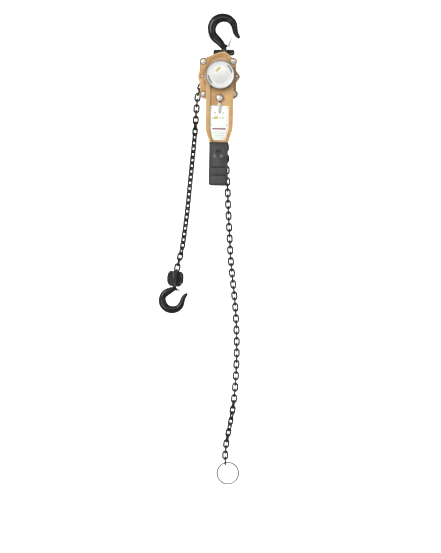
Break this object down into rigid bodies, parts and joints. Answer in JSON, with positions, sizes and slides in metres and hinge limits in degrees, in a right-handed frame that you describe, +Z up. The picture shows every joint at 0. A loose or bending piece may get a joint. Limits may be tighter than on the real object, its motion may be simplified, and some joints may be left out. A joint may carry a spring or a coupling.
{
  "type": "lever chain hoist",
  "caption": "Hanging lever chain hoist: top hook, ratchet lever with rubber grip, handwheel, load chain with bottom hook and slack chain with end ring.",
  "frame": {"origin": "seat of the top hook, the inside of the top of its bow", "axes": "+Z up along the hanging hoist, +X to the right seen from the lever side, front (handwheel and name plate) towards -Y"},
  "size_m": [0.2962, 0.176, 1.6977],
  "materials": {
    "hook_black": "black enamelled drop forging",
    "zinc_steel": "bright zinc plate",
    "spring_steel": "oiled spring wire",
    "tan_paint": "tan stove enamel on pressed steel",
    "inner_steel": "machined and greased",
    "chain_black": "black heat-treated alloy chain",
    "lining": "friction lining",
    "wheel_black": "black painted wheel",
    "wheel_chrome": "polished pressed disc",
    "grip_rubber": "moulded rubber",
    "plate_white": "white printed aluminium",
    "selector_chrome": "polished die casting"
  },
  "bodies": {
    "top_hook": {"top_hook": "hook_black", "top_latch_pin": "zinc_steel", "top_latch_spring": "spring_steel"},
    "top_latch": {"top_latch": "zinc_steel"},
    "top_yoke": {"top_yoke_front": "hook_black", "top_yoke_rear": "hook_black", "top_yoke_rivets": "hook_black"},
    "frame": {"front_side_plate": "tan_paint", "rear_side_plate": "tan_paint", "stay_bolts": "zinc_steel", "stay_nuts": "zinc_steel", "brake_cover": "tan_paint", "ear_screws": "zinc_steel", "gear_cover": "tan_paint", "chain_guides": "inner_steel", "pawl_pins": "inner_steel", "pawl_springs": "spring_steel", "sheave_bearings": "inner_steel", "chain_over_sheave": "chain_black", "top_pin": "zinc_steel"},
    "load_sheave": {"load_sheave": "inner_steel", "load_gear": "inner_steel"},
    "drive": {"drive_shaft": "inner_steel", "brake_hub": "inner_steel", "friction_discs": "lining", "change_gear": "inner_steel", "handwheel": "wheel_black", "handwheel_cap": "wheel_chrome", "handwheel_nut": "zinc_steel"},
    "idler_upper": {"first_gear_upper": "inner_steel", "pinion_shaft_upper": "inner_steel"},
    "idler_lower": {"first_gear_lower": "inner_steel", "pinion_shaft_lower": "inner_steel"},
    "ratchet_disc": {"ratchet_disc": "inner_steel"},
    "pawl_upper": {"pawl_upper": "inner_steel"},
    "pawl_lower": {"pawl_lower": "inner_steel"},
    "lever": {"lever_front_shell": "tan_paint", "lever_rear_shell": "tan_paint", "lever_bolts": "zinc_steel", "lever_grip": "grip_rubber", "name_plate": "plate_white", "name_plate_rivets": "zinc_steel"},
    "selector": {"selector_knob": "selector_chrome", "changeover_pawl": "inner_steel"},
    "load_chain_upper": {"load_chain_upper": "chain_black"},
    "load_chain_lower": {"load_chain_lower": "chain_black"},
    "slack_chain_upper": {"slack_chain_upper": "chain_black"},
    "slack_chain_middle": {"slack_chain_middle": "chain_black"},
    "slack_chain_lower": {"slack_chain_lower": "chain_black"},
    "chain_end_ring": {"chain_end_ring": "zinc_steel"},
    "bottom_block": {"bottom_block_left": "hook_black", "bottom_block_right": "hook_black", "bottom_block_bolts": "hook_black", "bottom_block_nuts": "hook_black", "bottom_chain_pin": "inner_steel"},
    "bottom_hook": {"bottom_hook": "hook_black", "bottom_latch_pin": "zinc_steel", "bottom_latch_spring": "spring_steel"},
    "bottom_latch": {"bottom_latch": "zinc_steel"}
  },
  "joints": [
    {"name": "top_latch_hinge", "type": "hinge", "parent": "top_hook", "child": "top_latch", "pos_m": [0.016, 0, -0.086], "axis": [0, -1, 0], "range_deg": [0, 42], "stiffness_Nm_per_rad": 0.02, "springref_deg": -22.92},
    {"name": "top_hook_swivel", "type": "hinge", "parent": "top_hook", "child": "top_yoke", "pos_m": [0, 0, -0.11], "axis": [0, 0, 1], "continuous": true},
    {"name": "top_pin_swing", "type": "hinge", "parent": "top_yoke", "child": "frame", "pos_m": [0, 0, -0.127], "axis": [0, -1, 0], "range_deg": [-15, 0]},
    {"name": "sheave_turn", "type": "hinge", "parent": "frame", "child": "load_sheave", "pos_m": [-0.0137, 0, -0.1937], "axis": [0, -1, 0], "continuous": true},
    {"name": "drive_turn", "type": "hinge", "parent": "frame", "child": "drive", "pos_m": [-0.0137, 0, -0.1937], "axis": [0, -1, 0], "continuous": true},
    {"name": "idler_upper_turn", "type": "hinge", "parent": "frame", "child": "idler_upper", "pos_m": [-0.03539, 0, -0.16785], "axis": [0, -1, 0], "continuous": true},
    {"name": "idler_lower_turn", "type": "hinge", "parent": "frame", "child": "idler_lower", "pos_m": [0.00799, 0, -0.21955], "axis": [0, -1, 0], "continuous": true},
    {"name": "ratchet_step", "type": "hinge", "parent": "frame", "child": "ratchet_disc", "pos_m": [-0.0137, 0, -0.1937], "axis": [0, -1, 0], "range_deg": [-12, 0]},
    {"name": "pawl_upper_lift", "type": "hinge", "parent": "frame", "child": "pawl_upper", "pos_m": [-0.02347, 0, -0.14773], "axis": [0, -1, 0], "range_deg": [0, 8]},
    {"name": "pawl_lower_lift", "type": "hinge", "parent": "frame", "child": "pawl_lower", "pos_m": [-0.00393, 0, -0.23967], "axis": [0, -1, 0], "range_deg": [0, 8]},
    {"name": "lever_turn", "type": "hinge", "parent": "frame", "child": "lever", "pos_m": [-0.0137, 0, -0.1937], "axis": [0, -1, 0], "continuous": true},
    {"name": "selector_turn", "type": "hinge", "parent": "lever", "child": "selector", "pos_m": [-0.01542, 0, -0.27598], "axis": [0, -1, 0], "range_deg": [-25, 25]},
    {"name": "load_chain_swing", "type": "hinge", "parent": "frame", "child": "load_chain_upper", "pos_m": [-0.09597, 0, -0.27757], "axis": [0, -1, 0], "range_deg": [-12, 12]},
    {"name": "load_chain_bend", "type": "hinge", "parent": "load_chain_upper", "child": "load_chain_lower", "pos_m": [-0.12052, 0, -0.56488], "axis": [-0.7036, 0.7071, 0.0706], "range_deg": [-12, 12]},
    {"name": "bottom_block_swing", "type": "hinge", "parent": "load_chain_lower", "child": "bottom_block", "pos_m": [-0.1735, 0, -0.90841], "axis": [0.9936, 0, -0.1132], "range_deg": [-18, 18]},
    {"name": "bottom_hook_swivel", "type": "hinge", "parent": "bottom_block", "child": "bottom_hook", "pos_m": [-0.1864, 0, -1.02167], "axis": [0.1132, 0, 0.9936], "continuous": true},
    {"name": "bottom_latch_hinge", "type": "hinge", "parent": "bottom_hook", "child": "bottom_latch", "pos_m": [-0.16356, 0, -0.96342], "axis": [0, -1, 0], "range_deg": [-38, 0], "stiffness_Nm_per_rad": 0.02, "springref_deg": 22.92},
    {"name": "slack_chain_swing", "type": "hinge", "parent": "frame", "child": "slack_chain_upper", "pos_m": [0.01563, 0, -0.25178], "axis": [0, -1, 0], "range_deg": [-10, 10]},
    {"name": "slack_chain_sway", "type": "hinge", "parent": "slack_chain_upper", "child": "slack_chain_middle", "pos_m": [0.0159, 0, -0.68376], "axis": [0.9991, 0, 0.0417], "range_deg": [-15, 15]},
    {"name": "slack_chain_bend", "type": "hinge", "parent": "slack_chain_middle", "child": "slack_chain_lower", "pos_m": [0.04597, 0, -1.15643], "axis": [0, -1, 0], "range_deg": [-15, 15]},
    {"name": "ring_swing", "type": "hinge", "parent": "slack_chain_lower", "child": "chain_end_ring", "pos_m": [0.00527, 0, -1.59351], "axis": [0, -1, 0], "range_deg": [-40, 40]}
  ],
  "couplings": [
    {"joint": "drive_turn", "follows": "sheave_turn", "ratio": 7.5625},
    {"joint": "idler_upper_turn", "follows": "sheave_turn", "ratio": -2.75},
    {"joint": "idler_lower_turn", "follows": "sheave_turn", "ratio": -2.75},
    {"joint": "pawl_upper_lift", "follows": "ratchet_step", "ratio": -0.6},
    {"joint": "pawl_lower_lift", "follows": "ratchet_step", "ratio": -0.6}
  ]
}
